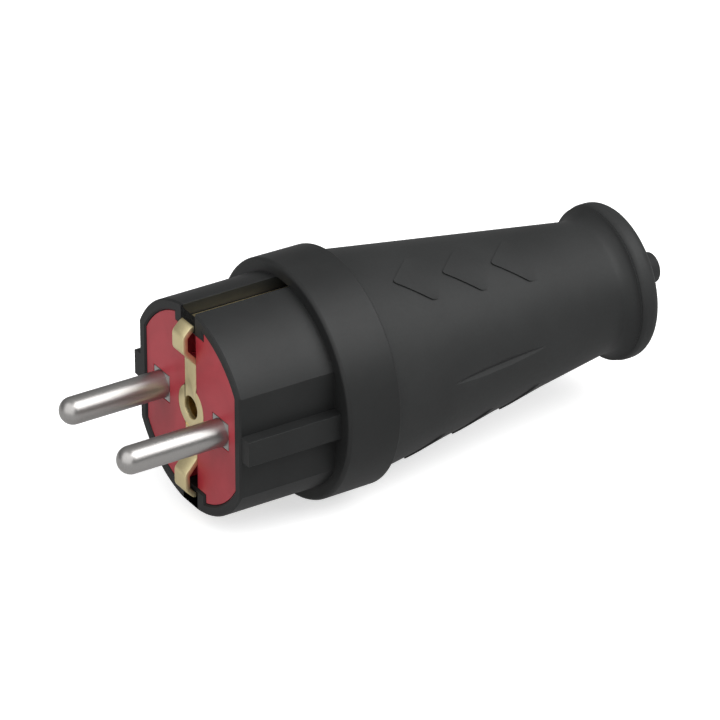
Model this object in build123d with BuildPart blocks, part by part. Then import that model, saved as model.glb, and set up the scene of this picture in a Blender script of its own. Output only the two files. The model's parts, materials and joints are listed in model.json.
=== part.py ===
"""Rewirable two-pole plug with side earth contacts and a rubber grip.

Millimetres. The plug's axis is X, the pins point to -X and the cable end to +X.
The origin is the centre of the front face that meets the socket. The earth
grooves are at the top and bottom of the nose, the flats at its left and right.
"""

from build123d import *
from math import atan, degrees, sqrt
import os

os.makedirs("parts", exist_ok=True)

# Pins, to the standard for 16 A plugs
pin_spacing = 19.0
pin_diameter = 4.8
pin_length = 19.0
pin_shoulder = 5.0
pin_shoulder_recess = 0.6
pin_tip_flat = 0.1
pin_root_length = 0.4
pin_root_flare = 10

# Nose of the housing
nose_radius = 18.7
nose_flats = 32.5
nose_length = 18.1
nose_wall = 1.9
nose_edge = 0.3
side_rib_width = 4.6
side_rib_height = 2.25
groove_width = 4.0
groove_floor = 15.4
groove_cheek = 2.45
cheek_inner_face = 14.55
groove_depth_past_collar = 4.5

# Collar, and the spigot that the grip is pushed over
collar_radius = 21.05
collar_length = 10.1
collar_draft = 0.1
collar_front_edge = 0.7
collar_rear_edge = 0.25
spigot_radius = 15.9
spigot_wall = 1.9
spigot_length = 10.0
barb_place = 5.2
barb_height = 0.6
barb_length = 2.4

# Rubber grip
grip_front_radius = 19.55
grip_taper = 0.1534
grip_length = 57.2
grip_wall = 3.4
grip_end_wall = 8.0
grip_gap = 0.05
bead_radius = 13.9
bead_length = 3.5
bead_front_edge = 1.0
bead_rear_edge = 2.0
bead_groove_floor = 13.4
bead_groove_place = 0.35
bead_lip_radius = 13.6
bead_lip_place = 0.7
bead_lip_edge = 0.15
bead_cove = 2.8
nipple_base_radius = 4.4
nipple_tip_radius = 2.65
nipple_length = 7.6
nipple_edge = 0.5
nipple_root = 1.0
nipple_hole = 3.2
cable_hole = 9.0
membrane = 2.0

# Pattern on the grip, repeated round it
pattern_copies = 3
chevron_turn = 23.0
chevron_count = 3
chevron_first = 7.0
chevron_pitch = 10.1
chevron_half_span = 4.5
chevron_sweep = 5.5
chevron_body = 7.2
chevron_fade = 9.6
chevron_height = 0.25
chevron_rear_height = 0.16
chevron_corner = 0.6
chevron_tip_corner = 0.5
scallop_turn = 88.0
scallop_place = 22.9
scallop_length = 19.8
scallop_width = 1.65
scallop_depth = 0.45

# Contact carrier, the red moulding
carrier_recess = 0.3
carrier_gap = 0.1
carrier_tail = 7.0
seat_past_nose = 0.9
window_gap = 0.085
pocket_gap = 0.1
bow_pocket_depth = 4.0

# Earth strap, bent from one strip
strap_width = 3.6
strap_thickness = 0.9
strap_bend = 0.5
strap_gap = 0.05
eye_diameter = 8.0
eye_hole = 4.15
bow_start = 9.05
bow_near = 11.65
bow_far = 14.4
bow_height = 2.3
strap_leg_past_nose = 3.4

# Terminals
block_width = 6.4
block_height = 6.4
block_length = 8.5
block_before_seat = 2.5
earth_block_top = 6.0
earth_post = 7.0
terminal_thread = 3.0
terminal_head = 5.2
terminal_head_height = 1.9
terminal_screw_length = 5.0
terminal_screw_setback = 3.0
terminal_slot = 0.8
clamp_plate_size = 5.8
clamp_plate_thickness = 1.0
wire_opening = 4.0
thread_gap = 0.02
thread_runout = 0.4

# Centre screw, its nut and the bridge in the housing
centre_thread = 2.5
centre_head = 3.9
centre_head_height = 2.0
centre_head_seat = 7.5
centre_slot = 0.7
centre_nut_flats = 5.0
centre_nut_thickness = 2.0
centre_screw_past_nut = 0.3
cover_thickness = 2.2
bridge_thickness = 4.0
bridge_height = 6.0
bridge_boss = 8.8
hole_gap = 0.1

# Cord anchorage behind the spigot
cord_diameter = 8.5
trough_radius = 11.0
trough_length = 16.0
trough_foot = 8.0
saddle_length = 8.0
saddle_setback = 3.0
saddle_wall = 2.0
saddle_width = 21.8
saddle_ear = 3.5
saddle_edge = 0.5
saddle_screw_spacing = 16.4
saddle_thread = 3.0
saddle_head = 5.4
saddle_head_height = 1.9
saddle_screw_length = 10.5
saddle_nut_flats = 5.5
saddle_nut_thickness = 2.4
saddle_nut_seat = 4.2
saddle_slot = 0.8

# Places that follow from the sizes above
grip_front = nose_length + collar_length
grip_rear = grip_front + grip_length
spigot_bore = spigot_radius - spigot_wall
spigot_end = grip_front + spigot_length
barb_front = grip_front + barb_place
carrier_seat = nose_length + seat_past_nose
carrier_rear = carrier_seat + carrier_tail
carrier_tail_radius = spigot_bore - carrier_gap
block_front = carrier_seat - block_before_seat
block_rear = block_front + block_length
terminal_screw_place = block_rear - terminal_screw_setback
cover_rear = carrier_rear + cover_thickness
bridge_rear = cover_rear + bridge_thickness
trough_end = spigot_end + trough_length
saddle_rear = trough_end - saddle_setback
saddle_middle = saddle_rear - saddle_length / 2
pocket_radius = nose_radius - nose_wall
pocket_flats = nose_flats - 2 * nose_wall
strap_seat = carrier_recess + strap_thickness
groove_end = nose_length + groove_depth_past_collar
bead_front = grip_rear - bead_length
bead_groove = bead_front - bead_groove_place
bead_lip = bead_front - bead_lip_place
cove_front = bead_lip - bead_cove
cavity_end = grip_rear - grip_end_wall
nipple_end = grip_rear + nipple_length
pin_root_front = pin_shoulder_recess - pin_root_length
far = 4 * collar_radius
chevron_tips = [grip_front + chevron_first + number * chevron_pitch for number in range(chevron_count)]
both_sides = (1, -1)


def cone_radius(x):
    """Radius of the grip's plain cone at x."""
    return grip_front_radius - grip_taper * (x - grip_front)


def carrier_outline(gap):
    """Outline that carrier and nose share, drawn in a sketch across the axis."""
    Circle(pocket_radius - gap)
    Rectangle(pocket_flats - 2 * gap, far, mode=Mode.INTERSECT)
    for side in both_sides:
        with Locations((0, side * (cheek_inner_face - gap + far / 2))):
            Rectangle(groove_width + 2 * groove_cheek + 2 * gap, far, mode=Mode.SUBTRACT)


def slotted_screw(thread, length, head, head_height, slot):
    """Cheese-head screw along Z with the underside of its head at Z = 0."""
    with BuildPart() as screw:
        Cylinder(thread / 2, length, align=(Align.CENTER, Align.CENTER, Align.MAX))
        chamfer(screw.edges().sort_by(Axis.Z)[0], thread / 8)
        Cylinder(head / 2, head_height, align=(Align.CENTER, Align.CENTER, Align.MIN))
        chamfer(screw.edges().sort_by(Axis.Z)[-1], head_height / 8)
        with BuildSketch(Plane.XY.offset(head_height)):
            Rectangle(2 * head, slot)
        extrude(amount=-head_height / 2, mode=Mode.SUBTRACT)
    return screw.part


def hex_nut(across_flats, thickness, hole):
    """Hexagon nut along Z, standing on Z = 0."""
    with BuildPart() as nut:
        with BuildSketch():
            RegularPolygon(across_flats / 2, 6, major_radius=False)
            Circle(hole / 2, mode=Mode.SUBTRACT)
        extrude(amount=thickness)
    return nut.part


# Front housing: nose, collar, spigot, bridge and cord trough in one black moulding
with BuildPart() as front_housing:
    with BuildSketch(Plane.YZ):
        Circle(nose_radius)
        Rectangle(nose_flats, far, mode=Mode.INTERSECT)
        Rectangle(nose_flats + 2 * side_rib_height, side_rib_width)
    extrude(amount=nose_length + 1)
    with BuildSketch(Plane.XZ):
        with BuildLine():
            Polyline(
                (nose_length, 0),
                (nose_length, collar_radius),
                (grip_front, collar_radius - collar_draft),
                (grip_front, spigot_radius),
                (barb_front, spigot_radius),
                (barb_front, spigot_radius + barb_height),
                (barb_front + barb_height, spigot_radius + barb_height),
                (barb_front + barb_length, spigot_radius),
                (spigot_end, spigot_radius),
                (spigot_end, 0),
                close=True,
            )
        make_face()
        front_corner = vertices().sort_by(Axis.Y)[-1]
        rear_corner = vertices().sort_by(Axis.Y)[-2]
        fillet(front_corner, collar_front_edge)
        fillet(rear_corner, collar_rear_edge)
    revolve(axis=Axis.X)
    # room for the carrier, and the bore behind it
    with BuildSketch(Plane.YZ):
        carrier_outline(0)
    extrude(amount=carrier_seat, mode=Mode.SUBTRACT)
    with BuildSketch(Plane.YZ.offset(carrier_seat)):
        Circle(spigot_bore)
    extrude(amount=far, mode=Mode.SUBTRACT)
    # earth grooves, open to the front and carried on under the collar
    with BuildSketch(Plane.YZ):
        for side in both_sides:
            with Locations((0, side * (groove_floor + far / 2))):
                Rectangle(groove_width, far)
        Circle(nose_radius, mode=Mode.INTERSECT)
    extrude(amount=groove_end, mode=Mode.SUBTRACT)
    chamfer(front_housing.faces().sort_by(Axis.X)[0].edges(), nose_edge)
    # bridge across the bore
    with BuildSketch(Plane.YZ.offset(cover_rear)):
        Rectangle(2 * spigot_bore + spigot_wall, bridge_height)
        Circle(bridge_boss / 2)
    extrude(amount=bridge_thickness)
    # trough for the cord, with a foot that ties it to the spigot
    with BuildSketch(Plane.YZ.offset(bridge_rear)):
        Circle(trough_radius)
        with Locations((0, -far / 2)):
            Rectangle(far, far, mode=Mode.INTERSECT)
    extrude(amount=trough_end - bridge_rear)
    with BuildSketch(Plane.YZ.offset(cover_rear)):
        with Locations((0, -(spigot_bore + spigot_wall / 2))):
            Rectangle(trough_foot, far / 2, align=(Align.CENTER, Align.MIN))
        with Locations((0, -far / 2)):
            Rectangle(far, far, mode=Mode.INTERSECT)
    extrude(amount=spigot_end - cover_rear)
    with BuildSketch(Plane.YZ.offset(bridge_rear)):
        Circle(cord_diameter / 2)
    extrude(amount=far, mode=Mode.SUBTRACT)
    # holes for the centre screw and its nut
    with BuildSketch(Plane.YZ.offset(cover_rear)):
        Circle(centre_thread / 2 + hole_gap)
    extrude(amount=bridge_thickness, mode=Mode.SUBTRACT)
    with BuildSketch(Plane.YZ.offset(bridge_rear)):
        RegularPolygon(centre_nut_flats / 2 + hole_gap, 6, major_radius=False)
    extrude(amount=-centre_nut_thickness, mode=Mode.SUBTRACT)
    # holes for the saddle's screws, with pockets for the nuts underneath
    with BuildSketch(Plane.XY):
        for side in both_sides:
            with Locations((saddle_middle, side * saddle_screw_spacing / 2)):
                Circle(saddle_thread / 2 + hole_gap)
    extrude(amount=-far, mode=Mode.SUBTRACT)
    with BuildSketch(Plane.XY.offset(-saddle_nut_seat)):
        for side in both_sides:
            with Locations((saddle_middle, side * saddle_screw_spacing / 2)):
                RegularPolygon(saddle_nut_flats / 2 + hole_gap, 6, major_radius=False)
    extrude(amount=-far, mode=Mode.SUBTRACT)
front_housing.part.label = "front_housing"
export_step(front_housing.part, "parts/front_housing.step")

# Raised chevrons of one row along the top of the grip, each fading out to the rear
with BuildSketch() as chevron_outline:
    with BuildLine():
        Polyline(
            (0, 0),
            (chevron_sweep, chevron_half_span),
            (chevron_fade, chevron_half_span),
            (chevron_fade, -chevron_half_span),
            (chevron_sweep, -chevron_half_span),
            close=True,
        )
    make_face()
    fillet(vertices().sort_by(Axis.X)[1:3], chevron_corner)
    fillet(vertices().sort_by(Axis.X)[0], chevron_tip_corner)
with BuildPart() as chevron_row:
    for tip in chevron_tips:
        body_end = tip + chevron_body
        fade_end = tip + chevron_fade
        with BuildSketch(Plane.XZ):
            with BuildLine():
                Polyline(
                    (tip, cone_radius(tip) - 1),
                    (tip, cone_radius(tip) + chevron_height),
                    (body_end, cone_radius(body_end) + chevron_rear_height),
                    (fade_end, cone_radius(fade_end)),
                    (fade_end, cone_radius(fade_end) - 1),
                    close=True,
                )
            make_face()
        revolve(axis=Axis.X)
    with BuildSketch(Plane.XY):
        with Locations([(tip, 0) for tip in chevron_tips]):
            add(chevron_outline.sketch)
    extrude(amount=far, mode=Mode.INTERSECT)

# Spindle that cuts one scallop, lying along the cone
scallop_round = (scallop_width ** 2 / 4 + scallop_depth ** 2) / (2 * scallop_depth)
scallop_half = scallop_length / 2 * sqrt(scallop_round / scallop_depth)
with BuildPart() as spindle:
    with BuildSketch(Plane.XZ):
        with BuildLine():
            ThreePointArc((-scallop_half, 0), (0, scallop_round), (scallop_half, 0))
            Line((scallop_half, 0), (-scallop_half, 0))
        make_face()
    revolve(axis=Axis.X)
scallop_middle = grip_front + scallop_place
scallop_height = cone_radius(scallop_middle) + (scallop_round - scallop_depth) * sqrt(1 + grip_taper ** 2)
scallop_tool = Location(
    (scallop_middle, 0, scallop_height), (0, degrees(atan(grip_taper)), 0)
) * spindle.part

# Rubber grip
with BuildPart() as rubber_grip:
    with BuildSketch(Plane.XZ):
        with BuildLine():
            cone = Line((grip_front, grip_front_radius), (cove_front, cone_radius(cove_front)))
            TangentArc(cone @ 1, (bead_lip, bead_lip_radius), tangent=cone % 1)
            Polyline(
                (bead_lip, bead_lip_radius),
                (bead_groove, bead_groove_floor),
                (bead_front, bead_radius),
                (grip_rear, bead_radius),
                (grip_rear, nipple_base_radius),
                (nipple_end, nipple_tip_radius),
                (nipple_end, nipple_hole / 2),
                (grip_rear - membrane, nipple_hole / 2),
                (grip_rear - membrane, cable_hole / 2),
                (cavity_end, cable_hole / 2),
                (cavity_end, cone_radius(cavity_end) - grip_wall),
                (spigot_end + grip_gap, cone_radius(spigot_end) - grip_wall),
                (spigot_end + grip_gap, spigot_radius + grip_gap),
                (barb_front + barb_length + grip_gap, spigot_radius + grip_gap),
                (barb_front + barb_height + grip_gap, spigot_radius + barb_height + grip_gap),
                (barb_front - grip_gap, spigot_radius + barb_height + grip_gap),
                (barb_front - grip_gap, spigot_radius + grip_gap),
                (grip_front, spigot_radius + grip_gap),
                (grip_front, grip_front_radius),
            )
        make_face()
        for corner, radius in (
            ((bead_lip, bead_lip_radius), bead_lip_edge),
            ((bead_front, bead_radius), bead_front_edge),
            ((grip_rear, bead_radius), bead_rear_edge),
            ((grip_rear, nipple_base_radius), nipple_root),
            ((nipple_end, nipple_tip_radius), nipple_edge),
        ):
            fillet(vertices().sort_by_distance(corner)[0], radius)
    revolve(axis=Axis.X)
    for copy in range(pattern_copies):
        turn = copy * 360 / pattern_copies
        add(chevron_row.part.rotate(Axis.X, chevron_turn + turn))
        add(scallop_tool.rotate(Axis.X, scallop_turn + turn), mode=Mode.SUBTRACT)
rubber_grip.part.label = "rubber_grip"
export_step(rubber_grip.part, "parts/rubber_grip.step")

# Contact carrier
with BuildPart() as contact_carrier:
    with BuildSketch(Plane.YZ.offset(carrier_recess)):
        carrier_outline(carrier_gap)
    extrude(amount=carrier_seat - carrier_recess)
    with BuildSketch(Plane.YZ.offset(carrier_seat)):
        Circle(carrier_tail_radius)
    extrude(amount=carrier_tail)
    # recess for the strap and its eye, and the pockets under the two bows
    with BuildSketch(Plane.YZ):
        Rectangle(strap_width + 2 * strap_gap, far)
        Circle(eye_diameter / 2 + strap_gap)
    extrude(amount=strap_seat, mode=Mode.SUBTRACT)
    with BuildSketch(Plane.YZ):
        for side in both_sides:
            with Locations((0, side * (bow_start + far / 2))):
                Rectangle(strap_width + 2 * strap_gap, far)
    extrude(amount=carrier_recess + bow_pocket_depth, mode=Mode.SUBTRACT)
    # windows and pockets of the pins, post and pocket of the earth terminal
    with BuildSketch(Plane.YZ):
        for side in both_sides:
            with Locations((side * pin_spacing / 2, 0)):
                Rectangle(pin_shoulder + 2 * window_gap, pin_shoulder + 2 * window_gap)
        Circle(earth_post / 2 + pocket_gap)
    extrude(amount=carrier_rear, mode=Mode.SUBTRACT)
    with BuildSketch(Plane.YZ.offset(block_front)):
        for place in (-pin_spacing / 2, 0, pin_spacing / 2):
            with Locations((place, -block_height / 2 - pocket_gap)):
                Rectangle(
                    block_width + 2 * pocket_gap,
                    (earth_block_top if place == 0 else block_height / 2) + block_height / 2 + 2 * pocket_gap,
                    align=(Align.CENTER, Align.MIN),
                )
    extrude(amount=far, mode=Mode.SUBTRACT)
    # channels above the blocks, for the wires and the screwdriver
    with BuildSketch(Plane.YZ.offset(carrier_seat)):
        for place in (-pin_spacing / 2, 0, pin_spacing / 2):
            with Locations((place, 0)):
                Rectangle(block_width + 2 * pocket_gap, far, align=(Align.CENTER, Align.MIN))
    extrude(amount=far, mode=Mode.SUBTRACT)
contact_carrier.part.label = "contact_carrier"
export_step(contact_carrier.part, "parts/contact_carrier.step")

# Earth strap: a flat middle with an eye, a bow each way and two legs
strap_middle = strap_seat - strap_thickness / 2
leg_middle = groove_floor + strap_thickness / 2
bow_middle = strap_middle - bow_height
with BuildPart() as earth_strap:
    for side in both_sides:
        with BuildSketch(Plane.XZ):
            with BuildLine():
                FilletPolyline(
                    (strap_middle, 0),
                    (strap_middle, side * bow_start),
                    (bow_middle, side * bow_near),
                    (bow_middle, side * bow_far),
                    (bow_middle + leg_middle - bow_far, side * leg_middle),
                    (nose_length + strap_leg_past_nose, side * leg_middle),
                    radius=strap_bend + strap_thickness / 2,
                )
            trace(line_width=strap_thickness)
        extrude(amount=strap_width / 2, both=True)
    with BuildSketch(Plane.YZ.offset(carrier_recess)):
        Circle(eye_diameter / 2)
    extrude(amount=strap_thickness)
    with BuildSketch(Plane.YZ):
        Circle(eye_hole / 2)
    extrude(amount=far, mode=Mode.SUBTRACT)
earth_strap.part.label = "earth_strap"
export_step(earth_strap.part, "parts/earth_strap.step")

# Pins: round pin, square shoulder and terminal block in one piece
for name, place in (("live_pin", -pin_spacing / 2), ("neutral_pin", pin_spacing / 2)):
    with BuildPart() as pin:
        with BuildSketch(Plane.YZ.offset(pin_root_front)) as pin_round:
            with Locations((place, 0)):
                Circle(pin_diameter / 2)
        extrude(amount=-pin_length - pin_root_front)
        fillet(pin.edges().sort_by(Axis.X)[0], pin_diameter / 2 - pin_tip_flat)
        extrude(pin_round.sketch, amount=pin_root_length, taper=-pin_root_flare)
        with BuildSketch(Plane.YZ.offset(pin_shoulder_recess)):
            with Locations((place, 0)):
                Rectangle(pin_shoulder, pin_shoulder)
        extrude(amount=block_front - pin_shoulder_recess)
        with BuildSketch(Plane.YZ.offset(block_front)):
            with Locations((place, 0)):
                Rectangle(block_width, block_height)
        extrude(amount=block_length)
        with BuildSketch(Plane.XY.offset(block_height / 2)):
            with Locations((terminal_screw_place, place)):
                Circle(terminal_thread / 2 + thread_gap)
        extrude(amount=-(terminal_screw_length - clamp_plate_thickness + thread_runout), mode=Mode.SUBTRACT)
    pin.part.label = name
    export_step(pin.part, "parts/" + name + ".step")

# Earth terminal: hollow post behind the eye, with a block at its rear
with BuildPart() as earth_terminal:
    with BuildSketch(Plane.YZ.offset(strap_seat)):
        Circle(earth_post / 2)
    extrude(amount=block_front - strap_seat)
    with BuildSketch(Plane.YZ.offset(block_front)):
        with Locations((0, -block_height / 2)):
            Rectangle(block_width, earth_block_top + block_height / 2, align=(Align.CENTER, Align.MIN))
    extrude(amount=block_length)
    with BuildSketch(Plane.YZ):
        Circle(eye_hole / 2)
    extrude(amount=centre_head_seat, mode=Mode.SUBTRACT)
    with BuildSketch(Plane.YZ):
        Circle(centre_thread / 2 + hole_gap)
    extrude(amount=far, mode=Mode.SUBTRACT)
    with BuildSketch(Plane.XY.offset(earth_block_top)):
        with Locations((terminal_screw_place, 0)):
            Circle(terminal_thread / 2 + thread_gap)
    extrude(amount=-(terminal_screw_length - clamp_plate_thickness + thread_runout), mode=Mode.SUBTRACT)
earth_terminal.part.label = "earth_terminal"
export_step(earth_terminal.part, "parts/earth_terminal.step")

# Screw and clamp plate on each of the three blocks
for name, place, top in (
    ("live", -pin_spacing / 2, block_height / 2),
    ("neutral", pin_spacing / 2, block_height / 2),
    ("earth", 0, earth_block_top),
):
    with BuildPart() as clamp_plate:
        with BuildSketch(Plane.XY.offset(top)):
            with Locations((terminal_screw_place, place)):
                RectangleRounded(clamp_plate_size, clamp_plate_size, clamp_plate_size / 10)
                Circle(terminal_thread / 2 + hole_gap, mode=Mode.SUBTRACT)
        extrude(amount=clamp_plate_thickness)
    clamp_plate.part.label = name + "_clamp_plate"
    export_step(clamp_plate.part, "parts/" + name + "_clamp_plate.step")
    terminal_screw = Location((terminal_screw_place, place, top + clamp_plate_thickness)) * slotted_screw(
        terminal_thread, terminal_screw_length, terminal_head, terminal_head_height, terminal_slot
    )
    terminal_screw.label = name + "_terminal_screw"
    export_step(terminal_screw, "parts/" + name + "_terminal_screw.step")

# Cover that keeps the blocks in the carrier
with BuildPart() as terminal_cover:
    with BuildSketch(Plane.YZ.offset(carrier_rear)):
        Circle(carrier_tail_radius)
        Circle(centre_thread / 2 + hole_gap, mode=Mode.SUBTRACT)
        for place, top in (
            (-pin_spacing / 2, block_height / 2),
            (0, earth_block_top),
            (pin_spacing / 2, block_height / 2),
        ):
            with Locations((place, top + wire_opening / 2)):
                Circle(wire_opening / 2, mode=Mode.SUBTRACT)
    extrude(amount=cover_thickness)
terminal_cover.part.label = "terminal_cover"
export_step(terminal_cover.part, "parts/terminal_cover.step")

# Centre screw, entered from the front, and its nut in the bridge
centre_screw = Location((centre_head_seat, 0, 0), (0, -90, 0)) * slotted_screw(
    centre_thread, bridge_rear + centre_screw_past_nut - centre_head_seat, centre_head, centre_head_height, centre_slot
)
centre_screw.label = "centre_screw"
export_step(centre_screw, "parts/centre_screw.step")
with BuildPart() as centre_nut:
    with BuildSketch(Plane.YZ.offset(bridge_rear - centre_nut_thickness)):
        RegularPolygon(centre_nut_flats / 2, 6, major_radius=False)
        Circle(centre_thread / 2 + thread_gap, mode=Mode.SUBTRACT)
    extrude(amount=centre_nut_thickness)
centre_nut.part.label = "centre_nut"
export_step(centre_nut.part, "parts/centre_nut.step")

# Saddle that clamps the cord on the trough
with BuildPart() as cord_saddle:
    with BuildSketch(Plane.YZ.offset(saddle_rear - saddle_length)):
        with Locations((0, saddle_ear / 2)):
            Rectangle(saddle_width, saddle_ear)
        Circle(cord_diameter / 2 + saddle_wall)
        with Locations((0, far / 2)):
            Rectangle(far, far, mode=Mode.INTERSECT)
        Circle(cord_diameter / 2, mode=Mode.SUBTRACT)
    extrude(amount=saddle_length)
    fillet(cord_saddle.edges().filter_by(Axis.X).group_by(Axis.Y)[0][-1:], saddle_edge)
    fillet(cord_saddle.edges().filter_by(Axis.X).group_by(Axis.Y)[-1][-1:], saddle_edge)
    with BuildSketch(Plane.XY):
        for side in both_sides:
            with Locations((saddle_middle, side * saddle_screw_spacing / 2)):
                Circle(saddle_thread / 2 + hole_gap)
    extrude(amount=far, mode=Mode.SUBTRACT)
cord_saddle.part.label = "cord_saddle"
export_step(cord_saddle.part, "parts/cord_saddle.step")

for name, side in (("right", 1), ("left", -1)):
    place = side * saddle_screw_spacing / 2
    saddle_screw = Location((saddle_middle, place, saddle_ear)) * slotted_screw(
        saddle_thread, saddle_screw_length, saddle_head, saddle_head_height, saddle_slot
    )
    saddle_screw.label = "saddle_screw_" + name
    export_step(saddle_screw, "parts/saddle_screw_" + name + ".step")
    saddle_nut = Location((saddle_middle, place, -saddle_nut_seat - saddle_nut_thickness)) * hex_nut(
        saddle_nut_flats, saddle_nut_thickness, saddle_thread + 2 * thread_gap
    )
    saddle_nut.label = "saddle_nut_" + name
    export_step(saddle_nut, "parts/saddle_nut_" + name + ".step")
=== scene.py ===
# Rubber power plug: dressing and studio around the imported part
import json
from math import atan, cos, pi, radians, sin, tan
import bpy
from mathutils import Matrix, Vector


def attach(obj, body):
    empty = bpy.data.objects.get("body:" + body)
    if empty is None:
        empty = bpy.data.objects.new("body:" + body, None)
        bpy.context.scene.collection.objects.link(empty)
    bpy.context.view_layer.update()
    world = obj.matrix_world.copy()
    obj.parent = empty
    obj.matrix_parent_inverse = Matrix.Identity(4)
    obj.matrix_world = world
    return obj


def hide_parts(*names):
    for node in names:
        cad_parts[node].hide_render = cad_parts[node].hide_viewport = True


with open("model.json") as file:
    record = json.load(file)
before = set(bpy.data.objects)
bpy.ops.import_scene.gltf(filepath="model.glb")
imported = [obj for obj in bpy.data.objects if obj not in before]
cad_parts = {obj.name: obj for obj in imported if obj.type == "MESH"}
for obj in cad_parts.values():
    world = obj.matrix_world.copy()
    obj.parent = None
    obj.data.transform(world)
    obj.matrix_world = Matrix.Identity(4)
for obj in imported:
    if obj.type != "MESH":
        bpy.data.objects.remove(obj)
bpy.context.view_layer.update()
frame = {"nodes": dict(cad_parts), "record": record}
nodes = frame["nodes"]
mm = 0.001
print("frame loaded:", len(nodes), "nodes")


# modelling helpers, all sizes in mm

mergeDistance = 0.002  # corners closer than this become one
near = 0.02            # how close a place has to be to be picked
past = 1               # how far a cutter or a joined end goes past a face
sliver = 0.001         # keeps a cutter's wall off the wall that it follows
creaseAngle = 35       # degrees, edges sharper than this are rounded
facing = 0.9           # a normal this far along an axis faces that way


def only(piece):
    bpy.ops.object.select_all(action="DESELECT")
    piece.select_set(True)
    bpy.context.view_layer.objects.active = piece


def pick(piece, kind, test, sharp=None):
    # edit mode with just those corners, edges or faces selected whose place passes the test,
    # and with sharp only the edges that turn by more degrees than that
    only(piece)
    bpy.ops.object.mode_set(mode="EDIT")
    bpy.ops.mesh.select_mode(type=kind)
    bpy.ops.mesh.select_all(action="DESELECT")
    if sharp:
        bpy.ops.mesh.edges_select_sharp(sharpness=radians(sharp))
        bpy.ops.object.mode_set(mode="OBJECT")
        creases = {edge.key for edge in piece.data.edges if edge.select}
        bpy.ops.object.mode_set(mode="EDIT")
        bpy.ops.mesh.select_all(action="DESELECT")
    bpy.ops.object.mode_set(mode="OBJECT")
    mesh = piece.data
    for spot in {"VERT": mesh.vertices, "EDGE": mesh.edges, "FACE": mesh.polygons}[kind]:
        if kind == "VERT":
            spot.select = test(spot.co / mm)
        elif kind == "EDGE":
            start, end = [mesh.vertices[index].co / mm for index in spot.vertices]
            spot.select = (not sharp or spot.key in creases) and test((start + end) / 2, end - start)
        else:
            spot.select = test(spot.center / mm, spot.normal)
    bpy.ops.object.mode_set(mode="EDIT")


def extrude(x, y, z):
    bpy.ops.mesh.extrude_region_move(TRANSFORM_OT_translate={"value": (x * mm, y * mm, z * mm)})


def bevelPicked(reach, segments, affect="EDGES"):
    # reach is how far the rounding goes along both sides
    bpy.ops.mesh.bevel(offset=reach * mm, segments=segments, affect=affect, clamp_overlap=False)
    bpy.ops.object.mode_set(mode="OBJECT")


def settle(piece):
    # the object goes to the origin, its place, turn and scale into its mesh
    only(piece)
    bpy.ops.object.transform_apply(location=True, rotation=True, scale=True)


def applied(piece, modifier):
    only(piece)
    bpy.ops.object.modifier_apply(modifier=modifier.name)


def box(name, low, high):
    bpy.ops.mesh.primitive_cube_add(size=mm, location=[(a + b) / 2 * mm for a, b in zip(low, high)])
    made = bpy.context.object
    made.name = name
    made.scale = [b - a for a, b in zip(low, high)]
    settle(made)
    return made


def bar(name, low, high, halfY, halfZ):
    # box along X with the axis in its middle
    return box(name, (low, -halfY, -halfZ), (high, halfY, halfZ))


def rod(name, radius, low, high, y=0, corners=96):
    # round bar along X
    bpy.ops.mesh.primitive_cylinder_add(
        vertices=corners, radius=radius * mm, depth=(high - low) * mm,
        location=((low + high) / 2 * mm, y * mm, 0), rotation=(0, pi / 2, 0))
    made = bpy.context.object
    made.name = name
    settle(made)
    return made


def hexRadius(half):
    # from half the width over a hexagon's flats to the radius of its corners
    return half / cos(pi / 6)


def join(piece, tool, operation="UNION"):
    made = piece.modifiers.new("join", "BOOLEAN")
    made.operation = operation
    made.solver = "EXACT"
    made.object = tool
    applied(piece, made)
    bpy.data.objects.remove(tool)


def drill(piece, centre, radius, depth, corners, turn=0):
    # hole along Z, its centre in the middle of its depth
    bpy.ops.mesh.primitive_cylinder_add(
        vertices=corners, radius=radius * mm, depth=depth * mm,
        location=[value * mm for value in centre], rotation=(0, 0, turn))
    join(piece, bpy.context.object, "DIFFERENCE")


def drawLine(name, points):
    # a plane shrunk to one corner, extruded from point to point in the XZ plane
    bpy.ops.mesh.primitive_plane_add(size=mm, location=(0, 0, 0))
    made = bpy.context.object
    made.name = name
    bpy.ops.object.mode_set(mode="EDIT")
    bpy.ops.mesh.select_mode(type="VERT")
    bpy.ops.mesh.select_all(action="SELECT")
    bpy.ops.mesh.merge(type="CENTER")
    bpy.ops.transform.translate(value=(points[0][0] * mm, 0, points[0][1] * mm))
    for (x, z), (nextX, nextZ) in zip(points, points[1:]):
        extrude(nextX - x, 0, nextZ - z)
    bpy.ops.mesh.select_all(action="SELECT")
    bpy.ops.mesh.remove_doubles(threshold=mergeDistance * mm)
    bpy.ops.object.mode_set(mode="OBJECT")
    return made


def roundCorner(piece, corner, reach, segments):
    pick(piece, "VERT", lambda spot: abs(spot.x - corner[0]) < near and abs(spot.z - corner[1]) < near)
    bevelPicked(reach, segments, "VERTICES")


def lathe(piece, steps):
    # spins a drawn line round the X axis
    only(piece)
    bpy.ops.object.mode_set(mode="EDIT")
    bpy.ops.mesh.select_all(action="SELECT")
    bpy.ops.mesh.spin(steps=steps, angle=2 * pi, center=(0, 0, 0), axis=(1, 0, 0))
    bpy.ops.mesh.select_all(action="SELECT")
    bpy.ops.mesh.remove_doubles(threshold=mergeDistance * mm)
    bpy.ops.mesh.normals_make_consistent(inside=False)
    bpy.ops.object.mode_set(mode="OBJECT")


def rounding(piece, width):
    # live rounding of the sharp edges
    made = piece.modifiers.new("rounding", "BEVEL")
    made.width = width * mm
    made.segments = 2
    made.limit_method = "ANGLE"
    made.angle_limit = radians(creaseAngle)
    made.use_clamp_overlap = False
    return made


def evenNormals(piece):
    made = piece.modifiers.new("evenNormals", "WEIGHTED_NORMAL")
    made.keep_sharp = True
    return made


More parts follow.
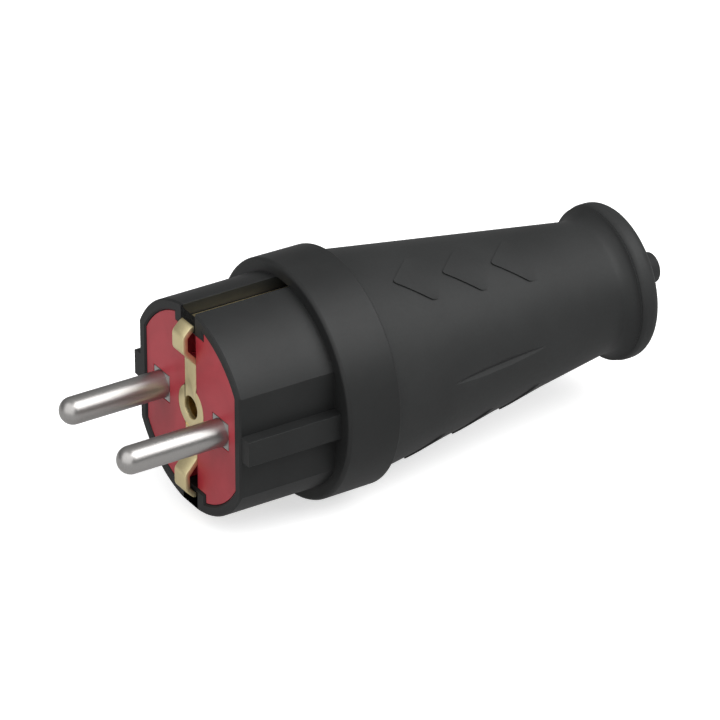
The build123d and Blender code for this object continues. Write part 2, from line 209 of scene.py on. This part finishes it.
def finish(piece, node, slot, smoothAngle=32):
    # smooth shading, body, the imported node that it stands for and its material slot
    only(piece)
    bpy.ops.object.shade_smooth_by_angle(angle=radians(smoothAngle))
    piece.data.materials.clear()
    piece.data.materials.append(finishes[slot])
    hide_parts(node)
    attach(piece, "root")
    print("modelled:", piece.name, len(piece.data.polygons), "faces")


# camera

camera = {  # metres and degrees, the lens, its sensor and the roll as fitted to the photograph
    "target": (25.943 * mm, -11.684 * mm, 6.967 * mm), "distance": 918.279 * mm,
    "azimuth": -32.150, "elevation": 29.319, "roll": 0.096,
    "lens": 278.097, "sensor": 36, "clip": (0.05, 20),
}
turn = radians(camera["azimuth"])
lift = radians(camera["elevation"])
back = Vector((sin(turn) * cos(lift), -cos(turn) * cos(lift), sin(lift)))
bpy.ops.object.camera_add(location=Vector(camera["target"]) + back * camera["distance"])
photoCamera = bpy.context.object
photoCamera.name = "photoCamera"
photoCamera.rotation_mode = "QUATERNION"
roll = Matrix.Rotation(radians(camera["roll"]), 3, "Z").to_quaternion()
photoCamera.rotation_quaternion = (-back).to_track_quat("-Z", "Y") @ roll
photoCamera.data.lens = camera["lens"]
photoCamera.data.sensor_width = camera["sensor"]
photoCamera.data.clip_start, photoCamera.data.clip_end = camera["clip"]
bpy.context.scene.camera = photoCamera
print("camera set")


# materials

def hexColour(code):
    # sRGB hex to the linear values that the shader wants
    values = []
    for start in (0, 2, 4):
        level = int(code[start:start + 2], 16) / 255
        values.append(level / 12.92 if level <= 0.04045 else ((level + 0.055) / 1.055) ** 2.4)
    return (*values, 1.0)


def node(tree, kind, settings=None, links=None, place=(0, 0)):
    # adds a node, sets its properties and sockets, and links its inputs
    made = tree.nodes.new(kind)
    made.location = place
    for name, value in (settings or {}).items():
        if isinstance(name, str) and hasattr(made, name):
            setattr(made, name, value)
        else:
            made.inputs[name].default_value = value
    for name, source in (links or {}).items():
        tree.links.new(source, made.inputs[name])
    return made


def newMaterial(name):
    material = bpy.data.materials.new(name)
    material.use_nodes = True
    tree = material.node_tree
    tree.nodes.clear()
    shader = node(tree, "ShaderNodeBsdfPrincipled", place=(300, 0))
    node(tree, "ShaderNodeOutputMaterial", links={"Surface": shader.outputs["BSDF"]}, place=(600, 0))
    where = node(tree, "ShaderNodeTexCoord", place=(-1000, 0)).outputs["Object"]
    return material, tree, shader, where


def surface(tree, shader, look, tone, relief):
    # tone takes the colour from dark to light, relief drives the roughness and the bump
    colour = node(tree, "ShaderNodeValToRGB", links={"Fac": tone}, place=(-300, 250))
    for stop, position, code in zip(colour.color_ramp.elements, look["blend"], (look["dark"], look["light"])):
        stop.position = position
        stop.color = hexColour(code)
    smoothest, roughest = look["roughness"]
    gloss = node(
        tree, "ShaderNodeMapRange", {"To Min": smoothest, "To Max": roughest},
        {"Value": relief}, (-300, 0))
    bump = node(
        tree, "ShaderNodeBump", {"Strength": look["bump"], "Distance": look["depth"] * mm},
        {"Height": relief}, (-300, -300))
    tree.links.new(colour.outputs["Color"], shader.inputs["Base Color"])
    tree.links.new(gloss.outputs["Result"], shader.inputs["Roughness"])
    tree.links.new(bump.outputs["Normal"], shader.inputs["Normal"])


def moulding(name, look):
    # slow clouds in the colour, and the mould's grain in gloss and bump
    material, tree, shader, where = newMaterial(name)
    clouds = node(
        tree, "ShaderNodeTexNoise",
        {"Scale": 1 / (look["cloud"] * mm), "Detail": look["cloudDetail"], "Distortion": look["swirl"]},
        {"Vector": where}, (-600, 200))
    grain = node(
        tree, "ShaderNodeTexNoise", {"Scale": 1 / (look["grain"] * mm), "Detail": look["grainDetail"]},
        {"Vector": where}, (-600, -150))
    surface(tree, shader, look, clouds.outputs["Fac"], grain.outputs["Fac"])
    shader.inputs["IOR"].default_value = look["ior"]
    shader.inputs["Specular IOR Level"].default_value = look["specular"]
    return material


def metal(name, look):
    # rolling or turning marks: fine lines along one axis that spread the highlight
    material, tree, shader, where = newMaterial(name)
    stretch = node(tree, "ShaderNodeMapping", {"Scale": look["stretch"]}, {"Vector": where}, (-800, 0))
    lines = node(
        tree, "ShaderNodeTexNoise", {"Scale": 1 / (look["line"] * mm), "Detail": 3},
        {"Vector": stretch.outputs["Vector"]}, (-600, 0))
    surface(tree, shader, look, lines.outputs["Fac"], lines.outputs["Fac"])
    shader.inputs["Metallic"].default_value = 1
    return material


finishes = {  # cloud, grain, line and depth in mm
    # black polyamide moulding from a spark-eroded mould: a fine grain that breaks up the soft highlight
    "black_moulding": moulding("blackPolyamide", {
        "light": "1B1C1C", "dark": "161717", "blend": (0.35, 0.65),
        "cloud": 9, "cloudDetail": 3, "swirl": 0, "grain": 0.35, "grainDetail": 2,
        "roughness": (0.52, 0.61), "bump": 0.25, "depth": 0.02, "ior": 1.53, "specular": 0.33,
    }),
    # vulcanised black rubber from a blasted mould: softer and duller than the polyamide, a little dusty
    "black_rubber": moulding("gripRubber", {
        "light": "242525", "dark": "1E1F1F", "blend": (0.35, 0.65),
        "cloud": 12, "cloudDetail": 4, "swirl": 0, "grain": 0.5, "grainDetail": 3,
        "roughness": (0.56, 0.66), "bump": 0.25, "depth": 0.03, "ior": 1.52, "specular": 0.35,
    }),
    # red urea moulding, satin: saturated colour with a broad soft sheen and faint flow marks
    "red_moulding": moulding("redUrea", {
        "light": "B0303C", "dark": "A22833", "blend": (0.35, 0.65),
        "cloud": 7, "cloudDetail": 3, "swirl": 0.6, "grain": 0.3, "grainDetail": 2,
        "roughness": (0.38, 0.46), "bump": 0.2, "depth": 0.01, "ior": 1.54, "specular": 0.5,
    }),
    # pale cartridge brass strip, rolled: lines run along the strip
    "strap_brass": metal("stripBrass", {
        "light": "EADDB2", "dark": "E0D0A0", "blend": (0.3, 0.7),
        "line": 0.25, "stretch": (1, 4, 0.3), "roughness": (0.36, 0.54), "bump": 0.2, "depth": 0.002,
    }),
    # turned brass for the hidden terminals
    "terminal_brass": metal("turnedBrass", {
        "light": "D8BE7A", "dark": "C9AC66", "blend": (0.3, 0.7),
        "line": 0.2, "stretch": (4, 1, 1), "roughness": (0.24, 0.36), "bump": 0.2, "depth": 0.004,
    }),
    # satin nickel plate over brass: bright, faintly warm, hair-fine turning marks round the pin
    "nickelled_pin": metal("nickelPlate", {
        "light": "AEACAA", "dark": "A2A09E", "blend": (0.3, 0.7),
        "line": 0.2, "stretch": (5, 0.4, 0.4), "roughness": (0.272, 0.408), "bump": 0.2, "depth": 0.002,
    }),
    # zinc-plated steel screws and nuts
    "zinc_steel": metal("zincSteel", {
        "light": "C3C6C9", "dark": "B4B7BB", "blend": (0.3, 0.7),
        "line": 0.3, "stretch": (1, 1, 1), "roughness": (0.256, 0.384), "bump": 0.2, "depth": 0.004,
    }),
}
print("materials made:", len(finishes))


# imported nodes: material and even shading, and for the contact carrier a small rounding on its edges

packed = {
    "weld": 0.001, "flat": 0.2,  # mm, and degrees between faces that become one before the rounding
    "rounded": {"contact_carrier": 0.1},  # width in mm
}
for subpart in frame["record"]["subparts"]:
    piece = nodes[subpart["node"]]
    piece.data.materials.clear()
    piece.data.materials.append(finishes[subpart["material_slot"]])
    weld = piece.modifiers.new("weld", "WELD")
    weld.merge_threshold = packed["weld"] * mm
    if subpart["node"] in packed["rounded"]:
        flatten = piece.modifiers.new("flatten", "DECIMATE")
        flatten.decimate_type = "DISSOLVE"
        flatten.angle_limit = radians(packed["flat"])
        rounding(piece, packed["rounded"][subpart["node"]])
    evenNormals(piece)
print("nodes dressed")


# front housing: flat-sided nose with ribs and earth grooves, and its collar,
# and inside the grip the spigot, the bridge for the nut and the trough for the cord

housing = {
    "nose": 18.7, "noseEnd": 19.1, "flats": 16.25, "chamfer": 0.3,
    "rib": 18.5, "ribHalf": 2.3, "ribFront": 0.32,
    "collar": (18.1, 28.2), "collarRadii": (21.04, 20.945), "collarRounding": ((0.7, 6), (0.25, 4)),
    "spigot": 15.9, "spigotEnd": 38.2, "barb": (33.4, 34.0, 35.8), "barbRadius": 16.5,
    "pocket": 16.8, "pocketFlats": 14.35, "cheek": 14.55, "cheekHalf": 4.45, "seat": 19.0,
    "bore": 14.0, "boreStart": 18.5,
    "grooveHalf": 2.0, "grooveFloor": 15.4, "grooveEnd": 22.6,
    "bridge": (28.2, 32.2), "bridgeSpan": 14.4, "bridgeHalf": 3.0, "boss": 4.4,
    "screwHole": 1.35, "nutPocket": (30.2, 2.6),
    "trough": 11.0, "troughEnd": 54.2, "footHalf": 4.0, "footDepth": 14.95, "cord": 4.25,
    "saddleScrew": (47.2, 8.2), "saddleHole": 1.6, "saddleNut": (-4.2, 2.85), "saddleDepth": 14,
    "corners": 256, "boreCorners": 192, "troughCorners": 128, "holeCorners": 32,
    "edge": 0.1, "edgeBand": 0.05, "longEdge": 15,  # rounding of the edges this near the outline and this long
    "crease": 40, "smooth": 25,  # degrees, for what is bevelled and for what shades smoothly
    "far": 60,  # further out than any of it
}
far = housing["far"]
frontHousing = rod("frontHousing", housing["nose"], 0, housing["noseEnd"], corners=housing["corners"])
join(frontHousing, bar("flats", -past, far, housing["flats"], far), "INTERSECT")
join(frontHousing, bar("ribs", housing["ribFront"], housing["noseEnd"], housing["rib"], housing["ribHalf"]))
front, rear = housing["collar"]
frontRadius, rearRadius = housing["collarRadii"]
spigot, barb = housing["spigot"], housing["barbRadius"]
barbStart, barbTop, barbEnd = housing["barb"]
collar = drawLine("collar", [
    (front, 0), (front, frontRadius), (rear, rearRadius), (rear, spigot),
    (barbStart, spigot), (barbStart, barb), (barbTop, barb), (barbEnd, spigot),
    (housing["spigotEnd"], spigot), (housing["spigotEnd"], 0),
])
roundCorner(collar, (front, frontRadius), *housing["collarRounding"][0])
roundCorner(collar, (rear, rearRadius), *housing["collarRounding"][1])
lathe(collar, housing["corners"])
join(frontHousing, collar)
# room for the contact carrier, and the bore behind it
pocket = rod("pocket", housing["pocket"], -past, housing["seat"], corners=housing["corners"])
join(pocket, bar("pocketFlats", -2 * past, far, housing["pocketFlats"], far), "INTERSECT")
for side in (1, -1):
    low, high = sorted((side * housing["cheek"], side * far))
    cheek = box("cheek", (-2 * past, -housing["cheekHalf"], low), (far, housing["cheekHalf"], high))
    join(pocket, cheek, "DIFFERENCE")
join(frontHousing, pocket, "DIFFERENCE")
bore = rod("bore", housing["bore"], housing["boreStart"], far, corners=housing["boreCorners"])
join(frontHousing, bore, "DIFFERENCE")
# earth grooves, carried on under the collar
groove = rod("groove", housing["nose"] + sliver, -past, housing["grooveEnd"], corners=housing["corners"])
join(groove, bar("grooveSides", -2 * past, far, housing["grooveHalf"], far), "INTERSECT")
join(groove, bar("grooveFloor", -2 * past, far, far, housing["grooveFloor"]), "DIFFERENCE")
join(frontHousing, groove, "DIFFERENCE")
# bridge for the centre nut, foot and trough for the cord
low, high = housing["bridge"]
footHalf = housing["footHalf"]
join(frontHousing, bar("bridge", low, high, housing["bridgeSpan"], housing["bridgeHalf"]))
join(frontHousing, rod("boss", housing["boss"], low, high))
trough = rod("trough", housing["trough"], high, housing["troughEnd"], corners=housing["troughCorners"])
join(trough, box("lowerHalf", (0, -far, -far), (far, far, 0)), "INTERSECT")
join(trough, box("foot", (low, -footHalf, -housing["footDepth"]), (housing["spigotEnd"], footHalf, 0)))
join(frontHousing, trough)
# holes for the cord, the centre screw and the saddle's screws, with pockets for their nuts
join(frontHousing, rod("cord", housing["cord"], high, far), "DIFFERENCE")
screwHole = rod("screwHole", housing["screwHole"], low - past, high + past, corners=housing["holeCorners"])
join(frontHousing, screwHole, "DIFFERENCE")
nutFront, nutHalf = housing["nutPocket"]
join(frontHousing, rod("nutPocket", hexRadius(nutHalf), nutFront, high + past, corners=6), "DIFFERENCE")
saddleX, saddleY = housing["saddleScrew"]
saddleDepth = housing["saddleDepth"]
nutTop, nutHalf = housing["saddleNut"]
for side in (1, -1):
    for corners, radius, top in (
        (housing["holeCorners"], housing["saddleHole"], past),
        (6, hexRadius(nutHalf), nutTop),
    ):
        centre = (saddleX, side * saddleY, (top - saddleDepth) / 2)
        drill(frontHousing, centre, radius, top + saddleDepth, corners, pi / 2)


def alongNose(middle, run):
    # long edges of the ribs and grooves on the nose's outside, between the front chamfer and the collar
    outline = abs(middle.y) > housing["rib"] - housing["edgeBand"]
    outline = outline or middle.yz.length > housing["nose"] - housing["edgeBand"]
    return outline and housing["chamfer"] < middle.x < front and abs(run.x) > housing["longEdge"]


pick(frontHousing, "EDGE", lambda middle, run: abs(middle.x) < near, housing["crease"])
bevelPicked(housing["chamfer"], 1)
pick(frontHousing, "EDGE", alongNose, housing["crease"])
bevelPicked(housing["edge"], 2)
finish(frontHousing, "front_housing", "black_moulding", housing["smooth"])
applied(frontHousing, evenNormals(frontHousing))


# earth strap: one strip, bent up into a bow each way and back into the nose's grooves

strap = {
    "width": 3.6, "thickness": 0.9, "eye": 8.0, "hole": 4.15, "edge": 0.08,
    "bend": 0.5, "bendSegments": 6,  # inner radius
    "path": ((0.75, 9.05), (-1.55, 11.65), (-1.55, 14.4), (-0.1, 15.85), (21.5, 15.85)),  # x, z of its middle
}
path = strap["path"]
flatX, flatEnd = path[0]
half = strap["thickness"] / 2
bpy.ops.mesh.primitive_plane_add(size=mm, rotation=(0, -pi / 2, 0), location=(flatX * mm, 0, 0))
earthStrap = bpy.context.object
earthStrap.name = "earthStrap"
earthStrap.scale = (2 * flatEnd, strap["width"], 1)
settle(earthStrap)
for side in (1, -1):
    for (x, z), (nextX, nextZ) in zip(path, path[1:]):
        pick(earthStrap, "EDGE", lambda middle, run: abs(middle.x - x) < near and abs(middle.z - side * z) < near)
        extrude(nextX - x, 0, side * (nextZ - z))
        bpy.ops.object.mode_set(mode="OBJECT")
bends = ((flatX, 0),) + path
for before, corner, after in zip(bends, bends[1:], bends[2:]):
    x, z = corner
    angle = (Vector(corner) - Vector(before)).angle(Vector(after) - Vector(corner))
    pick(earthStrap, "EDGE", lambda middle, run: abs(middle.x - x) < near and abs(abs(middle.z) - z) < near)
    bevelPicked((strap["bend"] + half) * tan(angle / 2), strap["bendSegments"])
wall = earthStrap.modifiers.new("wall", "SOLIDIFY")
wall.thickness = strap["thickness"] * mm
wall.offset = 0
wall.use_even_offset = True
applied(earthStrap, wall)
join(earthStrap, rod("eye", strap["eye"] / 2, flatX - half, flatX + half))
join(earthStrap, rod("eyeHole", strap["hole"] / 2, flatX - 2 * past, flatX + 2 * past), "DIFFERENCE")
applied(earthStrap, rounding(earthStrap, strap["edge"]))
finish(earthStrap, "earth_strap", "strap_brass")


# pins: round pin with a domed tip, square shoulder in the red face and a terminal block behind it

pin = {
    "spacing": 19.0, "radius": 2.4, "length": 19.0, "tip": 2.3, "tipSegments": 12, "corners": 64,
    "root": -0.1, "rootRadius": 2.47, "shoulder": 5.0, "shoulderFront": 0.32,
    "block": 6.4, "blockFront": 16.5, "blockRear": 25.0, "edge": 0.12,
    "screwPlace": 22.0, "screwHole": 3.04, "screwDepth": 4.4, "holeCorners": 32,
}


def makePin(name, y):
    made = rod(name, pin["radius"], -pin["length"], pin["root"], y, pin["corners"])
    pick(made, "EDGE", lambda middle, run: abs(middle.x + pin["length"]) < near)
    bevelPicked(pin["tip"], pin["tipSegments"])
    # slight flare where the pin meets its shoulder
    pick(made, "FACE", lambda centre, normal: normal.x > facing)
    extrude(pin["shoulderFront"] - pin["root"], 0, 0)
    flare = pin["rootRadius"] / pin["radius"]
    bpy.ops.transform.resize(value=(1, flare, flare), center_override=(0, y * mm, 0))
    extrude(past, 0, 0)
    bpy.ops.object.mode_set(mode="OBJECT")
    for part, width, low, high in (
        ("shoulder", pin["shoulder"], pin["shoulderFront"], pin["blockFront"] + past),
        ("block", pin["block"], pin["blockFront"], pin["blockRear"]),
    ):
        square = box(part, (low, y - width / 2, -width / 2), (high, y + width / 2, width / 2))
        applied(square, rounding(square, pin["edge"]))
        join(made, square)
    centre = (pin["screwPlace"], y, pin["block"] / 2)
    drill(made, centre, pin["screwHole"] / 2, 2 * pin["screwDepth"], pin["holeCorners"])
    return made


finish(makePin("livePin", -pin["spacing"] / 2), "live_pin", "nickelled_pin")
finish(makePin("neutralPin", pin["spacing"] / 2), "neutral_pin", "nickelled_pin")


# rubber grip: cone, cove, lip and bead, nipple, and the seat for the housing's spigot inside

grip = {
    "front": 28.2, "radius": 19.55, "taper": 0.1534, "wall": 3.4,
    "cove": (80.551, 11.519), "lip": (81.2, 13.6), "groove": (81.55, 13.4),
    "bead": 81.9, "beadRadius": 13.9, "rear": 85.4,
    "nippleBase": 4.4, "nipple": (93.0, 2.65), "hole": 1.6, "membrane": 83.4, "cordHole": 4.5,
    "cavityEnd": 77.4, "seat": 15.95, "seatEnd": 38.25, "barb": (33.35, 34.05, 35.85), "barbRadius": 16.55,
    "rounding": {  # reach and segments
        "cove": (2.15, 10), "lip": (0.18, 4), "bead": (0.5, 5),
        "beadRear": (2.0, 10), "nippleRoot": (0.8, 6), "nippleTip": (0.45, 4),
    },
    "steps": 240, "coneEdge": 40, "coneCuts": 41, "smooth": 14,
}


def coneRadius(x):
    return grip["radius"] - grip["taper"] * (x - grip["front"])


bead = (grip["bead"], grip["beadRadius"])
beadRear = (grip["rear"], grip["beadRadius"])
nippleRoot = (grip["rear"], grip["nippleBase"])
barbStart, barbTop, barbEnd = grip["barb"]
rubberGrip = drawLine("rubberGrip", [
    (grip["front"], grip["radius"]), grip["cove"], grip["lip"], grip["groove"],
    bead, beadRear, nippleRoot, grip["nipple"], (grip["nipple"][0], grip["hole"]),
    (grip["membrane"], grip["hole"]), (grip["membrane"], grip["cordHole"]), (grip["cavityEnd"], grip["cordHole"]),
    (grip["cavityEnd"], coneRadius(grip["cavityEnd"]) - grip["wall"]),
    (grip["seatEnd"], coneRadius(grip["seatEnd"]) - grip["wall"]),
    (grip["seatEnd"], grip["seat"]), (barbEnd, grip["seat"]), (barbTop, grip["barbRadius"]),
    (barbStart, grip["barbRadius"]), (barbStart, grip["seat"]), (grip["front"], grip["seat"]),
    (grip["front"], grip["radius"]),
])
for name, corner in (
    ("cove", grip["cove"]), ("lip", grip["lip"]), ("bead", bead),
    ("beadRear", beadRear), ("nippleRoot", nippleRoot), ("nippleTip", grip["nipple"]),
):
    roundCorner(rubberGrip, corner, *grip["rounding"][name])
# short lengths along the cone, so that the edges of the pattern shade cleanly
pick(rubberGrip, "EDGE", lambda middle, run: (
    abs(run.x) > grip["coneEdge"] and middle.z > coneRadius(middle.x) - grip["wall"] / 2))
bpy.ops.mesh.subdivide(number_cuts=grip["coneCuts"])
bpy.ops.object.mode_set(mode="OBJECT")
lathe(rubberGrip, grip["steps"])
print("grip turned")

chevron = {
    "tips": (34.95, 45.05, 55.15), "sweep": 5.6, "half": 4.7, "side": 6.95, "fade": 9.6, "turn": 23.6,
    "height": 0.27, "tuck": 0.01, "sink": 1.0,  # above the cone, its rear edge below it, and its root below it
    "tipRounding": (0.6, 4), "sideRounding": (0.3, 3), "slices": (12, 18),
}
scallop = {"x": 51.1, "height": 16.497, "half": (11.82, 1.6, 0.92), "turn": 88.0, "sides": 4, "rings": 64}
patternCopies = 3


def chevronHeight(along, across):
    # full height along both arms, run out behind them
    start = chevron["sweep"] * abs(across) / chevron["half"]
    end = chevron["fade"] - (chevron["fade"] - chevron["side"]) * abs(across) / chevron["half"]
    return chevron["height"] * (end - along) / (end - start) - chevron["tuck"]


def makeChevron(tip):
    sweep, side, fade, half = chevron["sweep"], chevron["side"], chevron["fade"], chevron["half"]
    made = drawLine("chevron", [
        (0, 0), (sweep, half), (side, half), (fade, 0), (side, -half), (sweep, -half), (0, 0)])
    roundCorner(made, (0, 0), *chevron["tipRounding"])
    roundCorner(made, (sweep, half), *chevron["sideRounding"])
    roundCorner(made, (sweep, -half), *chevron["sideRounding"])
    bpy.ops.object.mode_set(mode="EDIT")
    bpy.ops.mesh.select_all(action="SELECT")
    bpy.ops.mesh.edge_face_add()
    extrude(0, chevron["sink"], 0)
    bpy.ops.mesh.select_all(action="SELECT")
    bpy.ops.mesh.normals_make_consistent(inside=False)
    lengthwise, crosswise = chevron["slices"]
    for number in range(1, lengthwise):
        bpy.ops.mesh.select_all(action="SELECT")
        bpy.ops.mesh.bisect(plane_co=(number * fade / lengthwise * mm, 0, 0), plane_no=(1, 0, 0))
    for number in range(1, crosswise):
        bpy.ops.mesh.select_all(action="SELECT")
        bpy.ops.mesh.bisect(plane_co=(0, 0, (2 * number / crosswise - 1) * half * mm), plane_no=(0, 0, 1))
    bpy.ops.object.mode_set(mode="OBJECT")
    for spot in made.data.vertices:  # wrapped onto the cone
        along, level, across = spot.co / mm
        radius = coneRadius(tip + along)
        angle = across / radius
        radius += chevronHeight(along, across) if level < chevron["sink"] / 2 else -chevron["sink"]
        spot.co = Vector((tip + along, -radius * cos(angle), radius * sin(angle))) * mm
    return made


for copy in range(patternCopies):
    around = copy * 2 * pi / patternCopies
    for tip in chevron["tips"]:
        made = makeChevron(tip)
        made.rotation_euler = (radians(chevron["turn"] - 90) + around, 0, 0)
        settle(made)
        join(rubberGrip, made)
    # four-sided spindle, so that the scallop has an upper and a lower wall
    bpy.ops.mesh.primitive_uv_sphere_add(
        segments=scallop["sides"], ring_count=scallop["rings"], radius=mm,
        location=(0, 0, 0), rotation=(0, pi / 2, 0))
    spindle = bpy.context.object
    settle(spindle)
    spindle.scale = scallop["half"]
    spindle.rotation_euler = (0, atan(grip["taper"]), 0)
    spindle.location = (scallop["x"] * mm, 0, scallop["height"] * mm)
    settle(spindle)
    spindle.rotation_euler = (radians(scallop["turn"]) + around, 0, 0)
    settle(spindle)
    join(rubberGrip, spindle, "DIFFERENCE")
finish(rubberGrip, "rubber_grip", "black_rubber", grip["smooth"])


# studio: white paper and a white dome, brighter to the camera than they are to the plug

studio = {
    "floor": -21.12 * mm, "floorSize": 3.0,
    "floorSeen": "E6E6E6", "floorShade": "909090",  # its colour to the camera, and as light bounces off it
    "floorGlow": 0.6, "mirrorGlow": 0.3,  # to the camera, and in reflections
    "horizon": 0.15, "zenith": 0.5,
}


def viewRays(tree):
    # reflections, and what the camera sees itself or through glass
    ray = node(tree, "ShaderNodeLightPath", place=(-800, 200)).outputs
    seen = node(
        tree, "ShaderNodeMath", {"operation": "MAXIMUM"},
        {0: ray["Is Camera Ray"], 1: ray["Is Transmission Ray"]}, (-600, 200))
    return ray["Is Glossy Ray"], seen.outputs[0]


bpy.ops.mesh.primitive_plane_add(size=studio["floorSize"], location=(0, 0, studio["floor"]))
floor = bpy.context.object
floor.name = "floor"
paper = bpy.data.materials.new("studioPaper")
paper.use_nodes = True
tree = paper.node_tree
tree.nodes.clear()
mirrored, seen = viewRays(tree)
mirror = node(tree, "ShaderNodeMath", {"operation": "MULTIPLY", 1: studio["mirrorGlow"]}, {0: mirrored}, (-600, 0))
glow = node(
    tree, "ShaderNodeMath", {"operation": "MULTIPLY_ADD", 1: studio["floorGlow"]},
    {0: seen, 2: mirror.outputs[0]}, (-400, 100))
shade = node(
    tree, "ShaderNodeMixRGB",
    {"Color1": hexColour(studio["floorShade"]), "Color2": hexColour(studio["floorSeen"])},
    {"Fac": seen}, (-400, -150))
sheet = node(tree, "ShaderNodeBsdfDiffuse", links={"Color": shade.outputs[0]}, place=(-200, 0))
light = node(tree, "ShaderNodeEmission", {"Color": (1, 1, 1, 1)}, {"Strength": glow.outputs[0]}, (-200, 200))
both = node(tree, "ShaderNodeAddShader", links={0: sheet.outputs[0], 1: light.outputs[0]}, place=(0, 100))
node(tree, "ShaderNodeOutputMaterial", links={"Surface": both.outputs[0]}, place=(200, 100))
floor.data.materials.append(paper)

world = bpy.data.worlds.new("softWhite")
bpy.context.scene.world = world
world.use_nodes = True
tree = world.node_tree
tree.nodes.clear()
seen = viewRays(tree)[1]
direction = node(tree, "ShaderNodeTexCoord", place=(-1000, -100)).outputs["Generated"]
height = node(tree, "ShaderNodeSeparateXYZ", links={"Vector": direction}, place=(-800, -100))
dome = node(
    tree, "ShaderNodeMapRange", {"To Min": studio["horizon"], "To Max": studio["zenith"]},
    {"Value": height.outputs["Z"]}, (-600, -100))
strength = node(
    tree, "ShaderNodeMapRange", {"To Max": 1.0}, {"Value": seen, "To Min": dome.outputs["Result"]}, (-300, 100))
sky = node(tree, "ShaderNodeBackground", {"Color": (1, 1, 1, 1)}, {"Strength": strength.outputs["Result"]}, (0, 0))
node(tree, "ShaderNodeOutputWorld", links={"Surface": sky.outputs[0]}, place=(200, 0))

lamps = {  # place and aim in metres, size in metres, power in watts
    "key": {"place": (0.34, -0.34, 0.60), "aim": (0.03, 0, 0), "size": 0.7, "power": 6.0},
    "frontFill": {"place": (-0.55, -0.25, 0.38), "aim": (0, 0, 0), "size": 1.4, "power": 7.5},
}
for name, lamp in lamps.items():
    bpy.ops.object.light_add(type="AREA", location=lamp["place"])
    made = bpy.context.object
    made.name = name
    made.rotation_euler = (Vector(lamp["aim"]) - Vector(lamp["place"])).to_track_quat("-Z", "Y").to_euler()
    made.data.shape = "SQUARE"
    made.data.size = lamp["size"]
    made.data.energy = lamp["power"]
bpy.context.scene.view_settings.view_transform = "Standard"
print("studio set")
